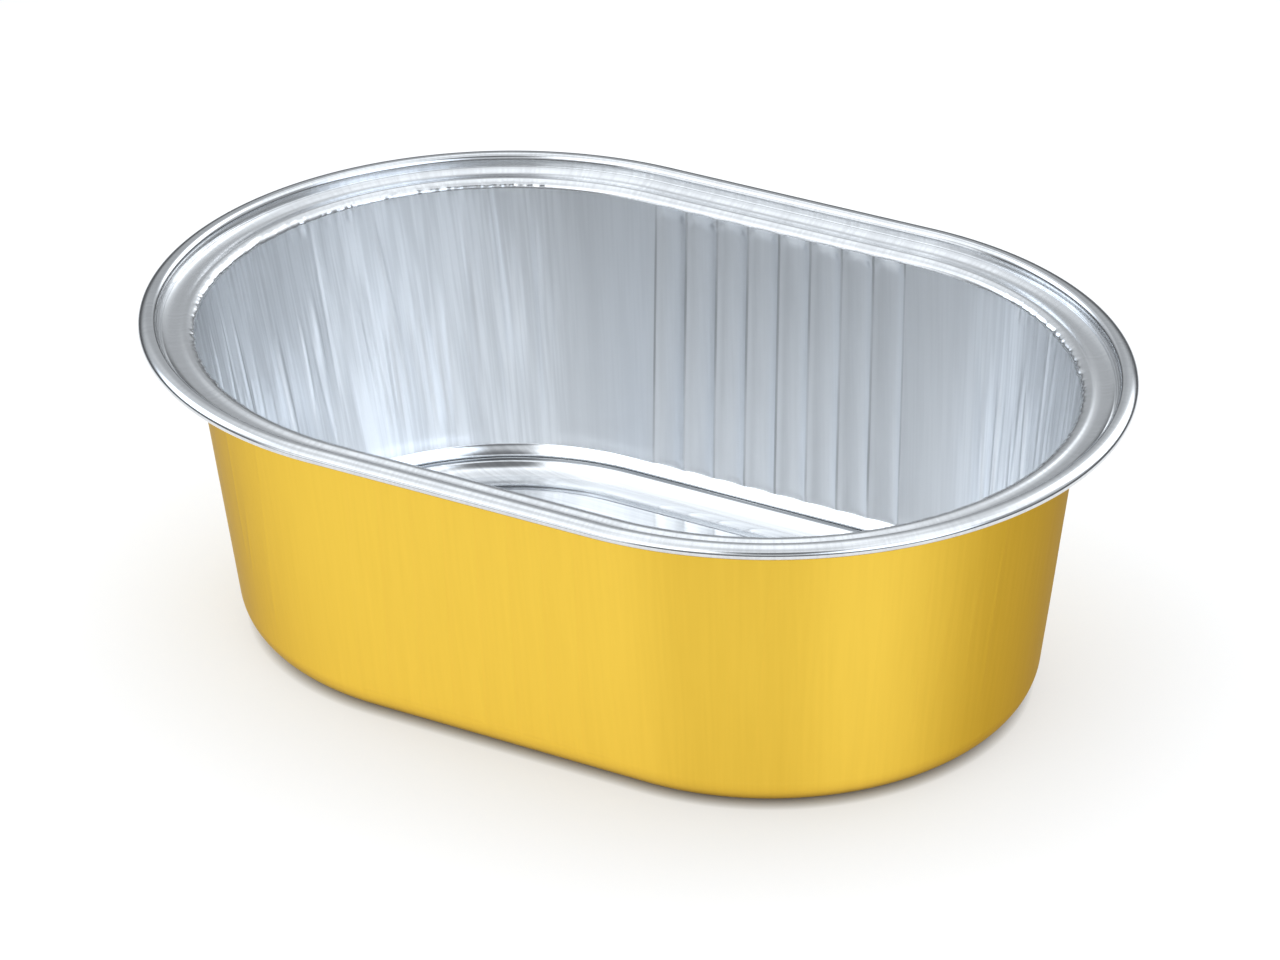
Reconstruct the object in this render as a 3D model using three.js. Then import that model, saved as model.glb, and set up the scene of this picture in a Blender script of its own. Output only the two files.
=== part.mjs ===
// Oval foil baking cup: one sheet of aluminium foil, lacquered gold on its outer face and drawn to a cup.
// Millimetres, +Z up, +X along the cup. The cup stands on Z = 0.
import * as THREE from "three";

// The cup from above: straight sides joined by half-round ends.
const rimLength = 120;
const rimWidth = 84;

// The sheet: bare foil inside the cup, lacquer outside.
const foilThickness = 0.12;
const lacquerThickness = 0.03;

// Heights and insets of the drawn shape, given for the bare inner face.
// An inset is measured inwards from the rim's outermost edge.
const cupHeight = 39.8;
const curlRadius = 0.85;
const curlSweep = 280;
const rimGrooveInset = 2.5;
const rimGrooveDepth = 1.45;
const rimGrooveRadius = 0.4;
const lipInset = 6.3;
const lipDepth = 1.95;
const lipRadius = 1.7;
const wallLean = 4.6;
const heelRadius = 4.35;
const footFlat = 0.8;
const footGrooveRadius = 0.6;
const riserAngle = 40;
const panelRise = 0.4;
const panelShoulderRadius = 0.6;

// How finely the round shapes are cut into flats.
const endSteps = 16;
const curlQuarterSteps = 4;
const heelSteps = 7;
const lipSteps = 4;
const smallBendSteps = 3;

const rimReach = rimWidth / 2;
const endCentre = (rimLength - rimWidth) / 2;
const footHeight = foilThickness + lacquerThickness;

// The gold side of the sheet lies to the right of a path that runs from the base's middle to the curl.
const rightOf = (direction) => new THREE.Vector2(direction.y, -direction.x);
const atAngle = (angle) => new THREE.Vector2(Math.cos(angle), Math.sin(angle));
const radians = THREE.MathUtils.degToRad;

// A point of the section: how far it reaches out from the cup's middle line, and its height.
function point(inset, height) {
  return new THREE.Vector2(rimReach - inset, height);
}

// Samples of an arc that starts at a place, heading a way, and turns by an angle, left if positive.
function arcSamples(start, heading, radius, turn, steps) {
  const toCentre = rightOf(atAngle(heading)).multiplyScalar(-Math.sign(turn) * radius);
  const centre = start.clone().add(toCentre);
  return Array.from({ length: steps + 1 }, (_, step) => {
    const angle = (turn * step) / steps;
    const place = start.clone().rotateAround(centre, angle);
    return { place, gold: rightOf(atAngle(heading + angle)) };
  });
}

// Samples of the rolled rim: one arc to each place where the curl is highest, widest and lowest, and the tail.
function curlSamples(start, heading) {
  const quarter = radians(90);
  const tail = radians(curlSweep) - heading - 2 * quarter;
  const samples = [];
  let [place, way] = [start, heading];
  for (const turn of [heading, quarter, quarter, tail]) {
    const steps = Math.max(1, Math.round((turn / quarter) * curlQuarterSteps));
    const arc = arcSamples(place, way, curlRadius, -turn, steps);
    samples.push(...(samples.length ? arc.slice(1) : arc));
    place = arc.at(-1).place;
    way -= turn;
  }
  return samples;
}

// How far a fillet reaches along each of the two runs that it joins.
const setbackOf = (radius, turn) => radius * Math.tan(Math.abs(turn) / 2);

// Rounds the corner between two straight runs. The fillet keeps to a share of the shorter run.
function roundCorner(before, corner, after, radius, steps, share = 0.5) {
  const into = corner.clone().sub(before);
  const out = after.clone().sub(corner);
  const turn = Math.atan2(into.cross(out), into.dot(out));
  const room = Math.min(into.length(), out.length()) * share;
  const setback = Math.min(setbackOf(radius, turn), room);
  const start = corner.clone().sub(into.clone().setLength(setback));
  return arcSamples(start, into.angle(), setback / setbackOf(1, turn), turn, steps);
}

// Where a straight run from a place first touches the curl, and the way that it heads.
function tangentToCurl(from, centre) {
  const toCentre = centre.clone().sub(from);
  const heading = toCentre.angle() + Math.asin(curlRadius / toCentre.length());
  const run = Math.sqrt(toCentre.lengthSq() - curlRadius ** 2);
  return { start: from.clone().add(atAngle(heading).multiplyScalar(run)), heading };
}

// The sheet's section as five zones in a row, each a list of samples of the bare inner face.
function sheetZones() {
  const panelHeight = footHeight + panelRise;
  const footInset = lipInset + wallLean;
  const wallAngle = Math.atan2(cupHeight - lipDepth - footHeight, wallLean);
  const heelReach = setbackOf(heelRadius, wallAngle);
  const grooveReach = setbackOf(footGrooveRadius, radians(riserAngle));
  const footWidth = heelReach + footFlat + grooveReach;
  const footGrooveInset = footInset + footWidth;
  const panelInset = footGrooveInset + panelRise / Math.tan(radians(riserAngle));

  const middle = point(rimReach, panelHeight);
  const panelEdge = point(panelInset, panelHeight);
  const footGroove = point(footGrooveInset, footHeight);
  const foot = point(footInset, footHeight);
  const lip = point(lipInset, cupHeight - lipDepth);
  const rimGroove = point(rimGrooveInset, cupHeight - rimGrooveDepth);
  const curlCentre = point(curlRadius, cupHeight - curlRadius);
  const touch = tangentToCurl(rimGroove, curlCentre);

  const centreSample = { place: middle, gold: new THREE.Vector2(0, -1) };
  const shoulder = roundCorner(middle, panelEdge, footGroove, panelShoulderRadius, smallBendSteps);
  const groove = roundCorner(panelEdge, footGroove, foot, footGrooveRadius, smallBendSteps);
  const heel = roundCorner(footGroove, foot, lip, heelRadius, heelSteps, heelReach / footWidth);
  const mouth = roundCorner(foot, lip, rimGroove, lipRadius, lipSteps);
  const channel = roundCorner(lip, rimGroove, touch.start, rimGrooveRadius, smallBendSteps);
  const curl = curlSamples(touch.start, touch.heading);

  return {
    base_panel: [centreSample, ...shoulder],
    foot_ring: [shoulder.at(-1), ...groove, ...heel],
    side_wall: [heel.at(-1), mouth[0]],
    sealing_flange: [...mouth, ...channel, curl[0]],
    rolled_rim: curl,
  };
}

// The closed section of one layer of a zone, between two depths into the sheet.
function layerSection(samples, nearDepth, farDepth) {
  const face = (depth) => samples.map(({ place, gold }) => place.clone().addScaledVector(gold, depth));
  return [...face(nearDepth), ...face(farDepth).reverse()];
}

// Places round the oval where sections stand: an arc of them at each end, joined by the straight sides.
function ovalStations() {
  return [endCentre, -endCentre].flatMap((middle, end) =>
    Array.from({ length: endSteps + 1 }, (_, step) => ({
      middle,
      out: atAngle(Math.PI * (end - 0.5 + step / endSteps)),
    })),
  );
}

// Carries a closed section round the oval. Faces that shrink to nothing on the middle line are left out.
function sweepRoundOval(section) {
  const stations = ovalStations();
  const place = (station, { x: reach, y: height }) =>
    new THREE.Vector3(station.middle + reach * station.out.x, reach * station.out.y, height);
  const onMiddleLine = (spot) => spot.x === 0;
  const corners = [];
  const addTriangle = (a, b, c) => {
    if (!a.equals(b) && !b.equals(c) && !c.equals(a)) corners.push(a, b, c);
  };
  stations.forEach((station, index) => {
    const next = stations[(index + 1) % stations.length];
    section.forEach((spot, order) => {
      const following = section[(order + 1) % section.length];
      if (onMiddleLine(spot) && onMiddleLine(following)) return;
      const [a, b] = [place(station, spot), place(station, following)];
      const [c, d] = [place(next, following), place(next, spot)];
      addTriangle(a, b, c);
      addTriangle(a, c, d);
    });
  });
  const geometry = new THREE.BufferGeometry().setFromPoints(corners);
  geometry.computeVertexNormals();
  return geometry;
}

function zoneMesh(name, section, material) {
  const mesh = new THREE.Mesh(sweepRoundOval(section), material);
  mesh.name = name;
  return mesh;
}

function bareFoil() {
  return new THREE.MeshStandardMaterial({ color: 0xc9d0d8, metalness: 1, roughness: 0.32 });
}

function goldLacquer() {
  return new THREE.MeshStandardMaterial({ color: 0xe2b43a, metalness: 1, roughness: 0.38 });
}

const cup = new THREE.Group();
cup.name = "oval_foil_cup";
for (const [zone, samples] of Object.entries(sheetZones())) {
  const foil = layerSection(samples, 0, foilThickness);
  const lacquer = layerSection(samples, foilThickness, foilThickness + lacquerThickness);
  cup.add(zoneMesh(zone, foil, bareFoil()));
  cup.add(zoneMesh(`${zone}_lacquer`, lacquer, goldLacquer()));
}

export default cup;
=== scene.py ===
import math

import bpy
import numpy as np
from mathutils import Matrix, Vector


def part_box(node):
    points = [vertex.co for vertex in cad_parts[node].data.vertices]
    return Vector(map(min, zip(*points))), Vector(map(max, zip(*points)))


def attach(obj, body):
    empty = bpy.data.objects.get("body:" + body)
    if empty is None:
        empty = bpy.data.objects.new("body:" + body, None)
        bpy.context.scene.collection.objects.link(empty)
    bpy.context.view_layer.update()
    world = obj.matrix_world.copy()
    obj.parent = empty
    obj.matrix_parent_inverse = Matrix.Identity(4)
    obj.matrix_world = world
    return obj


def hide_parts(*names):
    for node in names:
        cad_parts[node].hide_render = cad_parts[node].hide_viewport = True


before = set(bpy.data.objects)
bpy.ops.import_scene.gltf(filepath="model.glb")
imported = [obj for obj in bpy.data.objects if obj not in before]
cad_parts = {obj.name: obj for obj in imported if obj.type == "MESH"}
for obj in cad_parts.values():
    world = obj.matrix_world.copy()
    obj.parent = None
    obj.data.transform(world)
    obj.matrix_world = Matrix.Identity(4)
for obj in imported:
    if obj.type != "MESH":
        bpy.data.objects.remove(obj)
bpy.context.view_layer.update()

MM = 0.001

# The cup's main sizes, read from the frame.
rim_low, rim_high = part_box("rolled_rim")
panel_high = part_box("base_panel")[1]
cup_height = rim_high[2]
rim_reach = rim_high[1]
end_centre = rim_high[0] - rim_high[1]
curl_radius = (rim_high[2] - rim_low[2]) / 2
panel_height = panel_high[2]

# The sheet's section, as the part's source has it. An inset runs inwards from the rim's edge.
FOIL = 0.12 * MM
LACQUER = 0.03 * MM
LIP_INSET = 6.3 * MM
LIP_DEPTH = 1.95 * MM
WALL_LEAN = 4.6 * MM
HEEL_RADIUS = 4.35 * MM
FOOT_FLAT = 0.8 * MM
FOOT_GROOVE_RADIUS = 0.6 * MM
RISER_ANGLE = math.radians(40)
PANEL_SHOULDER_RADIUS = 0.6 * MM

# The rim up close: an oval bead, a fine groove and ridge inside it, and a channel up to the lip's crest.
BEAD_TOP_INSET = 1.5 * MM
BEAD_INNER_REACH = 0.75 * MM
CURL_END = math.radians(185)
RIM_GROOVE_INSET = 2.35 * MM
RIM_GROOVE_DEPTH = 1.5 * MM
RIM_GROOVE_RADIUS = 0.12 * MM
RIDGE_INSET = 2.72 * MM
RIDGE_DEPTH = 1.38 * MM
RIDGE_RADIUS = 0.12 * MM
CREST_INSET = 5.1 * MM
CHANNEL_TILT = math.radians(6)
CHANNEL_BEND = math.radians(46)

# The heel's band, which leans in above a fine double crease. The crease is given by its lines' heights.
HEEL_LINES = (2.28 * MM, 2.02 * MM)
HEEL_LINE_WIDTH = 0.15 * MM
HEEL_LINE_DEPTH = 0.08 * MM
HEEL_BAND_LIFT = 0.7 * MM
HEEL_BAND_ROUNDNESS = 0.6

foot_height = FOIL + LACQUER
wall_reach = rim_reach - LIP_INSET - WALL_LEAN / 2

# How finely the visible sheet is drawn: stations round the oval, and rows along each run of the section.
# Zones without wrinkles keep one station in COARSE. Points closer than SAME_PLACE become one corner.
ARC_STATIONS = 560
STRAIGHT_STATIONS = 224
COARSE = 4
PANEL_ROWS = 8
SHOULDER_ROWS = 6
RISER_ROWS = 4
FOOT_GROOVE_ROWS = 7
FOOT_ROWS = 3
HEEL_ROWS = 64
WALL_ROWS = 36
LIP_ROWS = 10
CHANNEL_ROWS = 14
RIDGE_ROWS = 4
RIM_GROOVE_ROWS = 5
BEAD_RUN_ROWS = 4
CURL_ROWS = 48
SAME_PLACE = 1e-4 * MM

# The drawn wall stands a little proud of the smooth section, from above the heel to over the lip.
WALL_LIFT = 0.28 * MM
LIFT_START, LIFT_FULL = 2.6 * MM, 5.5 * MM
LIFT_OVER_LIP = math.radians(20)

# Flutes on the straight sides. The crease between two flutes is a share of their pitch.
FLUTE_PITCH = 4.25 * MM
FLUTES = 8
FLUTE_SHIFT = -1.2 * MM
FLUTE_SLANT = 0.045
FLUTE_DEPTH = 0.34 * MM
FLUTE_ROUNDNESS = 2.5
FLUTE_CREASE = 0.05
FLUTE_TOP = 2.3 * MM
FLUTE_ARCH = 1.3 * MM
FLUTE_RUN = 0.8 * MM

# Wrinkles and a fine crimp on the round ends, from past the corners. A pair is a range to draw from.
CORNER_START, CORNER_FULL = 24 * MM, 35 * MM
WRINKLE_GAP = (0.7 * MM, 1.9 * MM)
WRINKLE_WIDTH = (0.2 * MM, 0.45 * MM)
WRINKLE_LIFT = (-0.13 * MM, 0.19 * MM)
WRINKLE_SLANT = 0.08
WRINKLE_SPREAD = 0.06
WRINKLE_FOOT = (2 * MM, 12 * MM)
WRINKLE_TOP = (22 * MM, 44 * MM)
WRINKLE_FADE = 7 * MM
WRINKLE_SEED = 11
CRIMP_GAP = (0.5 * MM, 1.1 * MM)
CRIMP_WIDTH = (0.2 * MM, 0.4 * MM)
CRIMP_LIFT = (-0.12 * MM, 0.08 * MM)
CRIMP_DEPTH = (2.2 * MM, 4.2 * MM)
CRIMP_FADE = 0.28 * MM

# How much of the wall's folds shows through on the gold side.
OUTSIDE_SHARE = 0.3


# The section of the sheet

def section_point(inset, height):
    """A point of the section as a complex number: reach from the cup's middle line, and height."""
    return complex(rim_reach - inset, height)


def arc(start, heading, radius, turn, steps):
    """Points and headings along an arc that turns left by a positive angle."""
    centre = start + 1j * math.copysign(radius, turn) * np.exp(1j * heading)
    angles = turn * np.linspace(0, 1, steps + 1)
    return centre + (start - centre) * np.exp(1j * angles), heading + angles


def setback(radius, turn):
    """How far a fillet reaches along each of the two runs that it joins."""
    return radius * math.tan(abs(turn) / 2)


def rounded(before, corner, after, radius, steps):
    """The arc that rounds the corner between two straight runs."""
    into, out = corner - before, after - corner
    turn = np.angle(out / into)
    start = corner - into / abs(into) * setback(radius, turn)
    return arc(start, np.angle(into), radius, turn, steps)


def straight(start, end, steps):
    """Points and headings after one place, up to and with another."""
    shares = np.linspace(0, 1, steps + 1)[1:]
    return start + (end - start) * shares, np.full(steps, np.angle(end - start))


def after_first(run):
    """A run without its first point, which the run before it ends with."""
    return run[0][1:], run[1][1:]


def crest_round(foot, lip, crest, crest_heading):
    """The arc from the wall's straight run to the lip's crest, where it has the crest's own heading."""
    wall_way = (lip - foot) / abs(lip - foot)
    back_way = -np.exp(1j * crest_heading)
    run = ((lip - crest) * wall_way.conjugate()).imag / (back_way * wall_way.conjugate()).imag
    corner = crest + back_way * run
    turn = crest_heading - np.angle(wall_way)
    radius = run / math.tan(abs(turn) / 2)
    return arc(corner - wall_way * run, np.angle(wall_way), radius, turn, LIP_ROWS)


def bead_curl(groove):
    """The bead's oval curl: a steep run up from the groove, a broad outer shoulder, and under."""
    centre = section_point(BEAD_TOP_INSET, cup_height - curl_radius)
    round_way = complex((groove - centre).real / BEAD_INNER_REACH, (groove - centre).imag / curl_radius)
    first = math.pi / 2 - np.angle(round_way) + math.acos(1 / abs(round_way)) - 2 * math.pi
    turns = np.linspace(first, CURL_END, CURL_ROWS + 1)
    reach = np.where(turns < 0, BEAD_INNER_REACH, BEAD_TOP_INSET)
    points = centre + reach * np.sin(turns) + 1j * curl_radius * np.cos(turns)
    return points, -np.arctan2(curl_radius * np.sin(turns), reach * np.cos(turns))


def sheet_section():
    """The bare inner face as points and headings, and the rows that belong to each zone."""
    foot_inset = LIP_INSET + WALL_LEAN
    wall_angle = math.atan2(cup_height - LIP_DEPTH - foot_height, WALL_LEAN)
    foot_width = setback(HEEL_RADIUS, wall_angle) + FOOT_FLAT + setback(FOOT_GROOVE_RADIUS, RISER_ANGLE)
    groove_inset = foot_inset + foot_width
    panel_inset = groove_inset + (panel_height - foot_height) / math.tan(RISER_ANGLE)
    middle = section_point(rim_reach, panel_height)
    panel_edge = section_point(panel_inset, panel_height)
    foot_groove = section_point(groove_inset, foot_height)
    foot = section_point(foot_inset, foot_height)
    lip = section_point(LIP_INSET, cup_height - LIP_DEPTH)
    rim_groove = section_point(RIM_GROOVE_INSET, cup_height - RIM_GROOVE_DEPTH)
    ridge = section_point(RIDGE_INSET, cup_height - RIDGE_DEPTH)
    channel_chord = (RIDGE_INSET - CREST_INSET) / math.cos(CHANNEL_TILT)
    crest = ridge + channel_chord * np.exp(1j * CHANNEL_TILT)
    crest_heading = CHANNEL_TILT - CHANNEL_BEND / 2
    channel_radius = abs(channel_chord) / (2 * math.sin(CHANNEL_BEND / 2))
    curl = bead_curl(rim_groove)
    curl_start = curl[0][0]

    start = (np.array([middle]), np.array([0.0]))
    shoulder = rounded(middle, panel_edge, foot_groove, PANEL_SHOULDER_RADIUS, SHOULDER_ROWS)
    groove = rounded(panel_edge, foot_groove, foot, FOOT_GROOVE_RADIUS, FOOT_GROOVE_ROWS)
    heel = rounded(foot_groove, foot, lip, HEEL_RADIUS, HEEL_ROWS)
    channel = arc(crest, crest_heading, channel_radius, CHANNEL_BEND, CHANNEL_ROWS)
    mouth = crest_round(foot, lip, crest, crest_heading)
    edge = rounded(channel[0][-2], ridge, rim_groove, RIDGE_RADIUS, RIDGE_ROWS)
    furrow = rounded(ridge, rim_groove, curl_start, RIM_GROOVE_RADIUS, RIM_GROOVE_ROWS)

    runs = {
        "base_panel": [start, straight(middle, shoulder[0][0], PANEL_ROWS), after_first(shoulder)],
        "foot_ring": [straight(shoulder[0][-1], groove[0][0], RISER_ROWS), after_first(groove),
                      straight(groove[0][-1], heel[0][0], FOOT_ROWS), after_first(heel)],
        "side_wall": [straight(heel[0][-1], mouth[0][0], WALL_ROWS)],
        "sealing_flange": [after_first(mouth), (channel[0][1:-1], channel[1][1:-1]), edge, furrow,
                           straight(furrow[0][-1], curl_start, BEAD_RUN_ROWS)],
        "rolled_rim": [after_first(curl)],
    }
    points, headings, rows, first = [], [], {}, 0
    for zone, pieces in runs.items():
        count = sum(len(piece[0]) for piece in pieces)
        rows[zone] = (max(0, first - 1), first + count)
        first += count
        points += [piece[0] for piece in pieces]
        headings += [piece[1] for piece in pieces]
    return np.concatenate(points), np.concatenate(headings), rows


def oval_stations():
    """Middle point and outward angle of each place round the oval where the section stands."""
    quarter = math.pi / 2
    arc_steps = np.arange(ARC_STATIONS) / ARC_STATIONS
    run_steps = np.arange(STRAIGHT_STATIONS) / STRAIGHT_STATIONS
    middles, angles = [], []
    for side, turned in ((1, 0), (-1, 2 * quarter)):
        middles += [np.full(ARC_STATIONS, side * end_centre), side * end_centre * (1 - 2 * run_steps)]
        angles += [turned - quarter + 2 * quarter * arc_steps, np.full(STRAIGHT_STATIONS, turned + quarter)]
    return np.concatenate(middles), np.concatenate(angles)


section, headings, zone_rows = sheet_section()
middles, angles = oval_stations()
gold_side = -1j * np.exp(1j * headings)
row_heights = section.imag


# Flutes and wrinkles of the drawn wall

def smooth_step(low, high, value):
    """A share that goes smoothly from 0 at low to 1 at high."""
    share = np.clip((value - low) / (high - low), 0, 1)
    return share * share * (3 - 2 * share)


def wall_window():
    """How much of the wall's relief each row keeps: all of it on the wall, none on the foot and ledge."""
    first, last = zone_rows["side_wall"]
    rows = np.arange(len(section))
    up_from_foot = smooth_step(LIFT_START, LIFT_FULL, row_heights)
    round_the_lip = smooth_step(LIFT_OVER_LIP, headings[last - 1], headings)
    on_wall = (rows >= first) & (rows < last)
    on_lip = (rows >= last) & (rows < last + LIP_ROWS)
    return up_from_foot * on_wall + round_the_lip * on_lip


def flute_depth(along, lap):
    """Depth of the slanted, round-topped flutes that stand side by side on the straight sides."""
    side_middle = np.where(np.sin(angles) > 0, math.pi * wall_reach + end_centre, lap - end_centre)
    from_middle = (along - side_middle + lap / 2) % lap - lap / 2
    slant = FLUTE_SLANT * (row_heights - cup_height / 2)
    flute = (from_middle[:, None] - slant - FLUTE_SHIFT) / FLUTE_PITCH + FLUTES / 2
    across = np.abs(2 * (flute - np.floor(flute)) - 1)
    inside = (flute > 0) & (flute < FLUTES)
    top = cup_height - FLUTE_TOP - FLUTE_ARCH * across ** 2
    under_top = smooth_step(0, FLUTE_RUN, top - row_heights)
    return inside * FLUTE_DEPTH * (1 - across ** FLUTE_ROUNDNESS) * under_top


def end_places(gap, draw):
    """Uneven places along both round ends, with a gap between each and the next drawn from a range."""
    end_length = math.pi * wall_reach
    for start in (0, end_length + 2 * end_centre):
        place = start
        while place < start + end_length:
            yield place
            place += draw.uniform(*gap)


def ridge_lift(along, lap, middle, width):
    """Share of a soft ridge's height at each station and row. Its middle may differ from row to row."""
    apart = (along[:, None] - middle + lap / 2) % lap - lap / 2
    return np.exp(-((apart / width) ** 2))


def wrinkle_lift(along, lap, draw):
    """Ridges and folds of uneven length that the round ends get when the sheet is drawn in."""
    lift = np.zeros((len(along), len(section)))
    for place in end_places(WRINKLE_GAP, draw):
        slant = WRINKLE_SLANT + draw.uniform(-WRINKLE_SPREAD, WRINKLE_SPREAD)
        middle = place + slant * (row_heights - cup_height / 2)
        low, high = draw.uniform(*WRINKLE_FOOT), draw.uniform(*WRINKLE_TOP)
        up = smooth_step(low, low + WRINKLE_FADE, row_heights)
        down = smooth_step(high, high - WRINKLE_FADE, row_heights)
        size = draw.uniform(*WRINKLE_LIFT)
        lift += size * up * down * ridge_lift(along, lap, middle, draw.uniform(*WRINKLE_WIDTH))
    return lift


def crimp_lift(along, lap, draw):
    """Short fine folds just under the lip of the round ends."""
    lift = np.zeros((len(along), len(section)))
    for place in end_places(CRIMP_GAP, draw):
        low = cup_height - draw.uniform(*CRIMP_DEPTH)
        size = draw.uniform(*CRIMP_LIFT)
        reach = smooth_step(low, low + CRIMP_FADE, row_heights)
        lift += size * reach * ridge_lift(along, lap, place, draw.uniform(*CRIMP_WIDTH))
    return lift


def heel_relief():
    """Height of the heel's band, which leans in down to a fine crease, at each row."""
    first, last = zone_rows["foot_ring"]
    rows = np.arange(len(section))
    lines = sum(np.exp(-(((row_heights - height) / HEEL_LINE_WIDTH) ** 2)) for height in HEEL_LINES)
    top, low = row_heights[last - 1], HEEL_LINES[0]
    down = np.clip((top - row_heights) / (top - low), 0, 1) ** HEEL_BAND_ROUNDNESS
    wall_foot = WALL_LIFT * smooth_step(LIFT_START, LIFT_FULL, top)
    above_crease = smooth_step(low, low + HEEL_LINE_WIDTH, row_heights)
    band = (wall_foot + (HEEL_BAND_LIFT - wall_foot) * down) * above_crease
    inner_rows = (rows > first) & (rows < last - 1)
    return (band - HEEL_LINE_DEPTH * np.minimum(lines, 1)) * inner_rows


def wall_relief():
    """Height of the drawn sheet over the smooth section, for each station and row."""
    draw = np.random.default_rng(WRINKLE_SEED)
    step = np.abs(np.diff(middles)) + wall_reach * np.abs(np.diff(angles))
    along = np.concatenate([[0], np.cumsum(step)])
    lap = 2 * math.pi * wall_reach + 4 * end_centre
    from_straight = wall_reach * np.abs(np.arctan2(np.cos(angles), np.abs(np.sin(angles))))
    past_corner = smooth_step(CORNER_START, CORNER_FULL, end_centre + from_straight)
    folds = past_corner[:, None] * (wrinkle_lift(along, lap, draw) + crimp_lift(along, lap, draw))
    folds -= flute_depth(along, lap)
    return (WALL_LIFT + folds) * wall_window() + heel_relief()


# Faces of the sheet

def face(depth, relief):
    """The sheet's face at a depth under its bare side, raised towards that side by a relief."""
    move = gold_side * (depth - relief)
    reach, height = section.real + move.real, section.imag + move.imag
    x = middles[:, None] + np.cos(angles)[:, None] * reach
    y = np.sin(angles)[:, None] * reach
    return np.stack([x, y, np.broadcast_to(height, x.shape)], axis=-1)


def grid_normals(grid):
    """Unit normals on the bare side of a face, from its neighbours."""
    along = np.roll(grid, -1, axis=0) - np.roll(grid, 1, axis=0)
    across = np.gradient(grid, axis=1)
    normals = np.cross(across, along)
    length = np.linalg.norm(normals, axis=-1, keepdims=True)
    level = np.array([0, 0, 1.0])
    return np.where(length > 0, normals / np.where(length > 0, length, 1), level)


def strip(left, right):
    """Four-cornered faces between two matching runs of corners round the oval."""
    next_left, next_right = np.roll(left, -1, axis=0), np.roll(right, -1, axis=0)
    return np.stack([left, right, next_right, next_left], axis=-1).reshape(-1, 4)


def layer_faces(top, under):
    """Faces round a closed thin layer. Corners that have become one count once in a face."""
    quads = [strip(top[:, row], top[:, row + 1]) for row in range(top.shape[1] - 1)]
    quads += [strip(under[:, row + 1], under[:, row]) for row in range(under.shape[1] - 1)]
    quads.append(strip(top[:, -1], under[:, -1]))
    starts_open = len(np.unique(top[:, 0])) == len(top)
    if starts_open:
        quads.append(strip(under[:, 0], top[:, 0]))
    faces = []
    for corners in np.concatenate(quads).tolist():
        ring = [corner for order, corner in enumerate(corners) if corner != corners[order - 1]]
        if len(ring) > 2:
            faces.append(ring)
    return faces


def layer_piece(name, near, far, near_normals, far_normals):
    """A closed thin layer between two faces of the sheet, each as stations by rows by xyz."""
    points = np.concatenate([near.reshape(-1, 3), far.reshape(-1, 3)])
    normals = np.concatenate([near_normals.reshape(-1, 3), -far_normals.reshape(-1, 3)])
    spots = np.round(points / SAME_PLACE).astype(np.int64)
    _, kept, merged = np.unique(spots, axis=0, return_index=True, return_inverse=True)
    merged = merged.reshape(-1)
    split = near.shape[0] * near.shape[1]
    top = merged[:split].reshape(near.shape[:2])
    under = merged[split:].reshape(far.shape[:2])
    mesh = bpy.data.meshes.new(name)
    mesh.from_pydata(points[kept].tolist(), [], layer_faces(top, under))
    mesh.polygons.foreach_set("use_smooth", [True] * len(mesh.polygons))
    mesh.normals_split_custom_set_from_vertices(normals[kept].tolist())
    mesh.update()
    piece = bpy.data.objects.new(name, mesh)
    bpy.context.scene.collection.objects.link(piece)
    return piece


# Materials

# Noise is near 0.5 for the most part. This is how far from it most of its values reach.
NOISE_REACH = 0.2

# Units of noise to a mm, round the oval and up the wall, or along the cup's own axes.
WALL_STREAKS = [(0.5, 0.045), (2.2, 0.07)]
CREASE_SHADE_PATCHES = (0.12, 0.06)
LEDGE_STREAKS = [(2.2, 0.1), (0.3, 0.1)]
ROLLING_LINES = (0.05, 2.5, 0.05)
GOLD_STREAKS = (1.8, 0.07)

# Shares from 0, a metal's dark colour, to 1, its light one. A pair is a range.
# Painted shade on the straight sides, darker towards the top, and painted light on the round ends.
SIDE_PAINTED_SHADE = (0.53, 0.42)
SIDE_STREAK = 0.06
END_PAINTED_LIGHT = 0.7
END_STREAK = 0.3
# Painted shade in the flutes' creases, and a painted highlight near one side of each flute.
CREASE_PAINTED_SHADE = (-0.15, -0.5)
GLINT_PAINTED_LIGHT = 0.09
ROLLING_SHADE = (0.85, 1)
GOLD_SHADE = 0.83
GOLD_STREAK = 0.14

# The painted highlight, a glint near one side of each flute, in shares of the pitch.
GLINT_PLACE = 0.9
GLINT_WIDTH = 0.12

# Wide bands of painted shade on the gold, where its reflection is darker: middle along the way round from
# the +X end, half of the dark core's width, half of the whole width, and depth.
GOLD_PAINTED_SHADE_BANDS = [
    (-40 * MM, 14 / 3 * MM, 14 * MM, 0.25),
    (4 * MM, 10 * MM, 30 * MM, 0.7),
    (95 * MM, 10 * MM, 30 * MM, 0.2),
]

# Dark and light colour of each metal.
SILVER_SHADES = ((0.2, 0.21, 0.22), (0.9, 0.912, 0.925))
RIM_SHADES = ((0.67, 0.677, 0.685), (0.74, 0.749, 0.757))
WALL_SHADES = ((0.42, 0.425, 0.43), (0.97, 0.983, 0.995))
GOLD_SHADES = ((0.62, 0.385, 0.03), (0.99, 0.675, 0.09))
GOLD_EDGE = (0.25, 0.25, 0.5)


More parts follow.
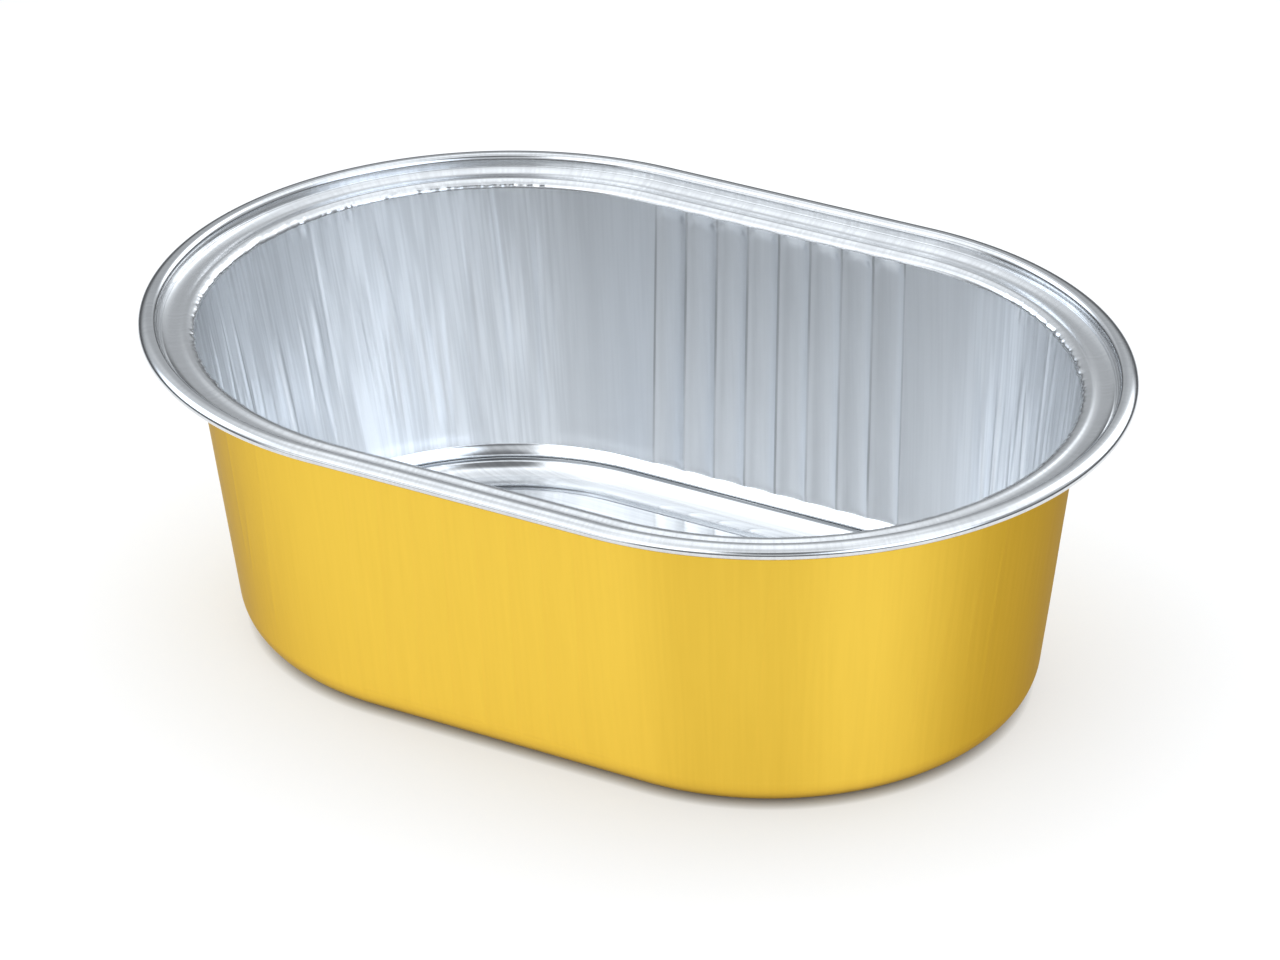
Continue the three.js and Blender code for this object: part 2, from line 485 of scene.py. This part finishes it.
class Nodes:
    """Short ways to add nodes to one tree and to join them."""

    def __init__(self, tree):
        self.tree = tree

    def add(self, kind, inputs=None, **settings):
        """A new node with its settings, and its inputs set or linked."""
        node = self.tree.nodes.new("ShaderNode" + kind)
        for name, value in settings.items():
            setattr(node, name, value)
        for socket, value in (inputs or {}).items():
            self.set(node.inputs[socket], value)
        return node

    def set(self, socket, value):
        """Links an input to another node's output, or sets it to a plain value."""
        if isinstance(value, bpy.types.NodeSocket):
            self.tree.links.new(value, socket)
        else:
            socket.default_value = value

    def math(self, operation, first, second=0.0):
        """A sum done on one or two values."""
        return self.add("Math", {0: first, 1: second}, operation=operation).outputs[0]

    def noise(self, place):
        """Soft noise from 0 to 1, with features about one unit of the place wide."""
        inputs = {"Vector": place, "Scale": 1.0, "Detail": 1.0, "Roughness": 0.5}
        return self.add("TexNoise", inputs).outputs["Fac"]

    def span(self, value, low, high, first=0.0, last=1.0):
        """Goes smoothly from the first number to the last as a value goes from low to high."""
        inputs = {"Value": value, "From Min": low, "From Max": high, "To Min": first, "To Max": last}
        return self.add("MapRange", inputs, interpolation_type="SMOOTHSTEP").outputs["Result"]

    def shade(self, share, low, high):
        """A colour between two, by a share from 0 to 1."""
        mix = self.add("MixRGB", {"Fac": share, "Color1": (*low, 1), "Color2": (*high, 1)})
        return mix.outputs["Color"]


def new_material(name):
    """A material, its nodes and its shader."""
    material = bpy.data.materials.new(name)
    material.use_nodes = True
    return material, Nodes(material.node_tree), material.node_tree.nodes["Principled BSDF"]


def way_round(nodes):
    """Length round the oval at the wall from the cup's end at +X, the sign of Y, and the height."""
    point = nodes.add("TexCoord").outputs["Object"]
    x, y, z = nodes.add("SeparateXYZ", {"Vector": point}).outputs
    middle = nodes.add("Clamp", {"Value": x, "Min": -end_centre, "Max": end_centre}).outputs[0]
    angle = nodes.math("ARCTAN2", y, nodes.math("SUBTRACT", x, middle))
    side = nodes.math("SIGN", y)
    passed = nodes.math("MULTIPLY", side, nodes.math("SUBTRACT", end_centre, middle))
    return nodes.math("ADD", nodes.math("MULTIPLY", angle, wall_reach), passed), side, z


def oval_place(nodes, along_per_mm, up_per_mm, slant=0.0):
    """A place for textures that runs round the oval and up the wall, with so many texture units to a mm."""
    along, _, z = way_round(nodes)
    along = nodes.math("SUBTRACT", along, nodes.math("MULTIPLY", z, slant))
    across = nodes.math("MULTIPLY", along, along_per_mm / MM)
    up = nodes.math("MULTIPLY", z, up_per_mm / MM)
    return nodes.add("CombineXYZ", {"X": across, "Y": up}).outputs[0]


def plain_place(nodes, x_per_mm, y_per_mm, z_per_mm):
    """A place for textures along the cup's own axes, with so many texture units to a mm."""
    point = nodes.add("TexCoord").outputs["Object"]
    scale = tuple(value / MM for value in (x_per_mm, y_per_mm, z_per_mm))
    return nodes.add("Mapping", {"Vector": point, "Scale": scale}).outputs[0]


def metal(name, marks, shades, dull, gloss, relief, edge_tint=(1, 1, 1)):
    """A metal skin: marks set its shade, dullness and fine relief. The edge tint dims it at flat angles."""
    material, nodes, shader = new_material(name)
    share = marks(nodes)
    shader.inputs["Metallic"].default_value = 1
    shader.inputs["Specular Tint"].default_value = (*edge_tint, 1)
    nodes.set(shader.inputs["Base Color"], nodes.shade(share, *shades))
    nodes.set(shader.inputs["Roughness"], nodes.span(share, 0, 1, dull, gloss))
    bump = nodes.add("Bump", {"Height": share, "Strength": 1.0, "Distance": relief})
    nodes.set(shader.inputs["Normal"], bump.outputs["Normal"])
    return material


def streaks(nodes, *scales, slant=0.0):
    """Light and dark streaks from the sum of noises round the oval, one for each pair of scales."""
    total = 0.0
    for along, up in scales:
        total = nodes.math("ADD", nodes.noise(oval_place(nodes, along, up, slant)), total)
    middle = len(scales) / 2
    reach = NOISE_REACH * math.sqrt(len(scales))
    return nodes.span(total, middle - reach, middle + reach)


def noise_between(nodes, place, first, last):
    """Noise at a place, stretched so that most of it lies between two numbers."""
    return nodes.span(nodes.noise(place), 0.5 - NOISE_REACH, 0.5 + NOISE_REACH, first, last)


def flute_crease_shade_and_glint(nodes, from_middle, z):
    """Painted light and shade on the flutes of a straight side: a fine dark crease of painted shade at each
    one's edge, and a soft glint of painted highlight.
    """
    slant = nodes.math("MULTIPLY", nodes.math("SUBTRACT", z, cup_height / 2), FLUTE_SLANT)
    from_shift = nodes.math("SUBTRACT", nodes.math("SUBTRACT", from_middle, slant), FLUTE_SHIFT)
    count = nodes.math("ADD", nodes.math("DIVIDE", from_shift, FLUTE_PITCH), FLUTES / 2)
    flute = nodes.math("FRACT", count)
    half_row = FLUTE_PITCH * (FLUTES + FLUTE_CREASE) / 2
    fluted = nodes.math("LESS_THAN", nodes.math("ABSOLUTE", from_shift), half_row)
    # Painted shade along each crease, and a painted highlight near one side of each flute.
    from_crease = nodes.math("PINGPONG", flute, 0.5)
    on_crease = nodes.span(from_crease, FLUTE_CREASE / 2, FLUTE_CREASE, 1, 0)
    crease_shade = noise_between(nodes, oval_place(nodes, *CREASE_SHADE_PATCHES), *CREASE_PAINTED_SHADE)
    crease = nodes.math("MULTIPLY", on_crease, crease_shade)
    from_glint = nodes.math("ABSOLUTE", nodes.math("SUBTRACT", flute, GLINT_PLACE))
    glint = nodes.span(from_glint, 0, GLINT_WIDTH, GLINT_PAINTED_LIGHT, 0)
    return nodes.math("MULTIPLY", nodes.math("ADD", crease, glint), fluted)


def wall_streaks_and_painted_shade(nodes):
    """Drawn streaks on the round ends, with painted light there, and painted shade on the fluted straight
    sides, darker towards the top.
    """
    along, side, z = way_round(nodes)
    side_middle = nodes.math("MULTIPLY", side, math.pi / 2 * wall_reach + end_centre)
    from_middle = nodes.math("SUBTRACT", along, side_middle)
    streak = streaks(nodes, *WALL_STREAKS, slant=WRINKLE_SLANT)
    # Painted shade: the straight sides darker than the round ends, and darker towards the top; the ends get
    # painted light.
    painted_side_shade = nodes.span(z, LIFT_FULL, cup_height, *SIDE_PAINTED_SHADE)
    straight_share = nodes.math("ADD", painted_side_shade, flute_crease_shade_and_glint(nodes, from_middle, z))
    straight_share = nodes.math("ADD", straight_share, nodes.math("MULTIPLY", streak, SIDE_STREAK))
    end_share = nodes.math("ADD", nodes.math("MULTIPLY", streak, END_STREAK), END_PAINTED_LIGHT)
    on_end = nodes.span(nodes.math("ABSOLUTE", from_middle), CORNER_START, CORNER_FULL)
    more = nodes.math("SUBTRACT", end_share, straight_share)
    return nodes.math("ADD", straight_share, nodes.math("MULTIPLY", on_end, more))


def ledge_marks(nodes):
    """Faint streaks on the flange and the bead."""
    return streaks(nodes, *LEDGE_STREAKS)


def rolling_lines_and_crease_shade(nodes):
    """Faint lines along the rolled sheet, and painted shade along the heel's double crease."""
    share = noise_between(nodes, plain_place(nodes, *ROLLING_LINES), *ROLLING_SHADE)
    z = way_round(nodes)[2]
    # Painted shade: the dark colour along each line of the heel's crease.
    for height in HEEL_LINES:
        from_line = nodes.math("ABSOLUTE", nodes.math("SUBTRACT", z, height))
        off_shaded_crease = nodes.span(from_line, HEEL_LINE_WIDTH / 2, HEEL_LINE_WIDTH)
        share = nodes.math("MULTIPLY", share, off_shaded_crease)
    return share


def gold_streaks_and_painted_shade(nodes):
    """Lacquer with fine streaks, and a few wide bands of painted shade along the way round."""
    along = way_round(nodes)[0]
    streak = nodes.math("MULTIPLY", nodes.noise(oval_place(nodes, *GOLD_STREAKS)), GOLD_STREAK)
    share = nodes.math("ADD", streak, GOLD_SHADE)
    # Painted shade: each band darkens the gold where its reflection is darker.
    for middle, half_core, half_width, depth in GOLD_PAINTED_SHADE_BANDS:
        apart = nodes.math("ABSOLUTE", nodes.math("SUBTRACT", along, middle))
        share = nodes.math("SUBTRACT", share, nodes.span(apart, half_core, half_width, depth, 0))
    return share


wall_foil = metal("wall_foil", wall_streaks_and_painted_shade, WALL_SHADES, dull=0.42, gloss=0.32, relief=0.01 * MM)
panel_foil = metal("panel_foil", rolling_lines_and_crease_shade, SILVER_SHADES, dull=0.2, gloss=0.1, relief=0.001 * MM)
ledge_foil = metal("ledge_foil", ledge_marks, RIM_SHADES, dull=0.24, gloss=0.18, relief=0.0003 * MM)
bead_foil = metal("bead_foil", ledge_marks, RIM_SHADES, dull=0.16, gloss=0.11, relief=0.0002 * MM)
gold_lacquer = metal("gold_lacquer", gold_streaks_and_painted_shade, GOLD_SHADES, dull=0.54, gloss=0.44, relief=0.003 * MM,
                     edge_tint=GOLD_EDGE)


# The cup's pieces

# The gold side follows the folds a little way outwards, so that it stays clear of the smooth face that
# the two layers share.
relief = wall_relief()
folds = relief - WALL_LIFT * wall_window() - heel_relief()
bare_face = face(0, relief)
bond_face = face(FOIL, np.zeros_like(relief))
gold_face = face(FOIL + LACQUER, np.minimum(OUTSIDE_SHARE * folds, 0))
bare_normals = grid_normals(bare_face)
bond_normals = grid_normals(bond_face)
gold_normals = grid_normals(gold_face)


def add_piece(node, material, stations, near_rows, far_rows, faces, normals):
    """One layer of one zone as a piece that stands in for its node."""
    sides = zip((*faces, *normals), (near_rows, far_rows) * 2)
    grids = [grid[stations][:, rows] for grid, rows in sides]
    piece = layer_piece(node + "_skin", *grids)
    piece.data.materials.append(material)
    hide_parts(node)
    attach(piece, "root")


zone_foils = {
    "base_panel": panel_foil,
    "foot_ring": panel_foil,
    "side_wall": wall_foil,
    "sealing_flange": ledge_foil,
    "rolled_rim": bead_foil,
}
for zone, foil in zone_foils.items():
    first, last = zone_rows[zone]
    every_row = list(range(first, last))
    bond_rows = [first, last - 1] if zone == "side_wall" else every_row
    wrinkled = zone in ("side_wall", "sealing_flange")
    stations = slice(None) if wrinkled else slice(None, None, COARSE)
    add_piece(zone, foil, stations, every_row, bond_rows,
              (bare_face, bond_face), (bare_normals, bond_normals))
    add_piece(zone + "_lacquer", gold_lacquer, stations, bond_rows, every_row,
              (bond_face, gold_face), (bond_normals, gold_normals))


# Stage, light and camera

# The floor is white round the cup and grey far off. Its glow carries a painted shadow, dark at the contact,
# and faint and wide round the cup.
FLOOR_SIZE = 4000 * MM
FLOOR_WHITE, FLOOR_END = 160 * MM, 400 * MM
FLOOR_FAR, FLOOR_NEAR = (0.15, 0.15, 0.15), (0.4, 0.4, 0.4)
FLOOR_ROUGHNESS = 0.9
FLOOR_SPECULAR = 0.1
FLOOR_GLOW = 0.62
CONTACT_SHADOW_REACH = 1.4 * MM
PAINTED_SHADOW_REACH = 28 * MM
PAINTED_SHADOW_SHARE = 0.35
SHADE_SAMPLES = 8

# Light from all round, by elevation in degrees and strength.
STUDIO_TINT = (0.955, 1.0, 1.05)
COOL_TINT = (0.9, 1.0, 1.13)
BANDS = [
    (0, 0.1),
    (10, 0.15),
    (22, 0.6),
    (32, 0.75),
    (48, 0.85),
    (62, 1.0),
    (70, 1.3),
    (78, 1.0),
    (90, 0.85),
]

# Round panels in it: turn to the right of the camera, elevation and half width in degrees, strength, tint.
PANEL_EDGE = 6
PANELS = [
    (-58, 8, 15, 1.3, STUDIO_TINT),
    (78, 24, 12, 0.4, STUDIO_TINT),
    (-115, 34, 18, 2.7, COOL_TINT),
    (-82, 48, 18, 1.4, STUDIO_TINT),
    (-42, 44, 18, 2.2, STUDIO_TINT),
    (40, 32, 22, 2.0, COOL_TINT),
    (92, 56, 18, 1.4, STUDIO_TINT),
    (135, 33, 18, 2.4, STUDIO_TINT),
    (3, 54, 14, 0.2, STUDIO_TINT),
    (-174, 56, 12, 1.4, STUDIO_TINT),
    (-176, 25, 13, 0.5, STUDIO_TINT),
]

# The photograph's view, solved from the cup's outlines in it. Angles are in degrees, lens and sensor in mm.
CAMERA_AZIMUTH = 29.589
CAMERA_ELEVATION = 28.828
CAMERA_ROLL = -0.7
CAMERA_DISTANCE = 650 * MM
CAMERA_LENS = 156.275
SENSOR_WIDTH = 36
CLIP_START = 10 * MM
CAMERA_TARGET = Vector((0.799 * MM, 0, 20.897 * MM))


def studio_direction(turn, elevation):
    """A direction by its turn to the right of the camera and its elevation, both in degrees."""
    azimuth, rise = math.radians(CAMERA_AZIMUTH + turn), math.radians(elevation)
    level = math.cos(rise)
    return Vector((math.sin(azimuth) * level, -math.cos(azimuth) * level, math.sin(rise)))


def open_share(nodes, reach):
    """How open the floor is to the light, with what stands within a reach of it in the way."""
    return nodes.add("AmbientOcclusion", {"Distance": reach}, samples=SHADE_SAMPLES).outputs["AO"]


def make_floor():
    """A plain white floor that also shows white in the metal. Its glow is dimmed near the cup in a painted
    shadow; its lit part keeps the cup's own shadow.
    """
    bpy.ops.mesh.primitive_plane_add(size=FLOOR_SIZE, location=(0, 0, 0))
    floor = bpy.context.object
    floor.name = "floor"
    material, nodes, shader = new_material("floor")
    place = nodes.add("TexCoord").outputs["Object"]
    distance = nodes.add("VectorMath", {0: place}, operation="LENGTH").outputs["Value"]
    near = nodes.span(distance, FLOOR_WHITE, FLOOR_END, 1, 0)
    nodes.set(shader.inputs["Base Color"], nodes.shade(near, FLOOR_FAR, FLOOR_NEAR))
    shader.inputs["Roughness"].default_value = FLOOR_ROUGHNESS
    shader.inputs["Specular IOR Level"].default_value = FLOOR_SPECULAR
    shader.inputs["Emission Color"].default_value = (1, 1, 1, 1)
    path = nodes.add("LightPath").outputs
    seen = nodes.math("MAXIMUM", path["Is Camera Ray"], path["Is Glossy Ray"])
    seen = nodes.math("MAXIMUM", seen, path["Is Transmission Ray"])
    # Painted shadow: the floor's glow is dimmed where the cup stands close, at the contact, and faint and
    # wide for the camera alone.
    contact = open_share(nodes, CONTACT_SHADOW_REACH)
    around = open_share(nodes, PAINTED_SHADOW_REACH)
    shade = nodes.math("MULTIPLY", nodes.math("SUBTRACT", 1, around), PAINTED_SHADOW_SHARE)
    shade = nodes.math("MULTIPLY", shade, path["Is Camera Ray"])
    shown = nodes.math("MULTIPLY", nodes.math("MULTIPLY", seen, near), contact)
    shown = nodes.math("MULTIPLY", shown, nodes.math("SUBTRACT", 1, shade))
    nodes.set(shader.inputs["Emission Strength"], nodes.math("MULTIPLY", shown, FLOOR_GLOW))
    floor.data.materials.append(material)


def with_panel(nodes, direction, colour, turn, elevation, half_width, strength, tint):
    """The surroundings with a round panel in them, given by its direction and its size."""
    middle = tuple(studio_direction(turn, elevation))
    dot = nodes.add("VectorMath", {0: direction, 1: middle}, operation="DOT_PRODUCT").outputs["Value"]
    outer, inner = (math.cos(math.radians(half_width + edge)) for edge in (PANEL_EDGE, -PANEL_EDGE))
    share = nodes.span(dot, outer, inner)
    shade = (*(strength * part for part in tint), 1)
    return nodes.add("MixRGB", {"Fac": share, "Color1": colour, "Color2": shade}).outputs["Color"]


def make_world():
    """Soft light whose brightness goes by its height, with lighter and darker panels round the cup."""
    world = bpy.data.worlds.new("studio")
    bpy.context.scene.world = world
    world.use_nodes = True
    nodes = Nodes(world.node_tree)
    direction = nodes.add("TexCoord").outputs["Generated"]
    height = nodes.add("SeparateXYZ", {"Vector": direction}).outputs["Z"]
    ramp = nodes.add("ValToRGB", {"Fac": height})
    stops = ramp.color_ramp.elements
    while len(stops) < len(BANDS):
        stops.new(0.5)
    for stop, (elevation, strength) in zip(stops, BANDS):
        stop.position = math.sin(math.radians(elevation))
        stop.color = (*(strength * tint for tint in STUDIO_TINT), 1)
    colour = ramp.outputs["Color"]
    for panel in PANELS:
        colour = with_panel(nodes, direction, colour, *panel)
    nodes.set(world.node_tree.nodes["Background"].inputs["Color"], colour)


def make_camera():
    """A camera that looks at its target from its own direction, turned by its roll."""
    back = studio_direction(0, CAMERA_ELEVATION)
    level_right = studio_direction(90, 0)
    roll = math.radians(CAMERA_ROLL)
    right = level_right * math.cos(roll) + back.cross(level_right) * math.sin(roll)
    data = bpy.data.cameras.new("camera")
    data.sensor_width = SENSOR_WIDTH
    data.lens = CAMERA_LENS
    data.clip_start = CLIP_START
    camera = bpy.data.objects.new("camera", data)
    axes = Matrix((right, back.cross(right), back)).transposed().to_4x4()
    camera.matrix_world = Matrix.Translation(CAMERA_TARGET + back * CAMERA_DISTANCE) @ axes
    bpy.context.scene.collection.objects.link(camera)
    bpy.context.scene.camera = camera


make_floor()
make_world()
make_camera()
bpy.context.scene.view_settings.view_transform = "Standard"
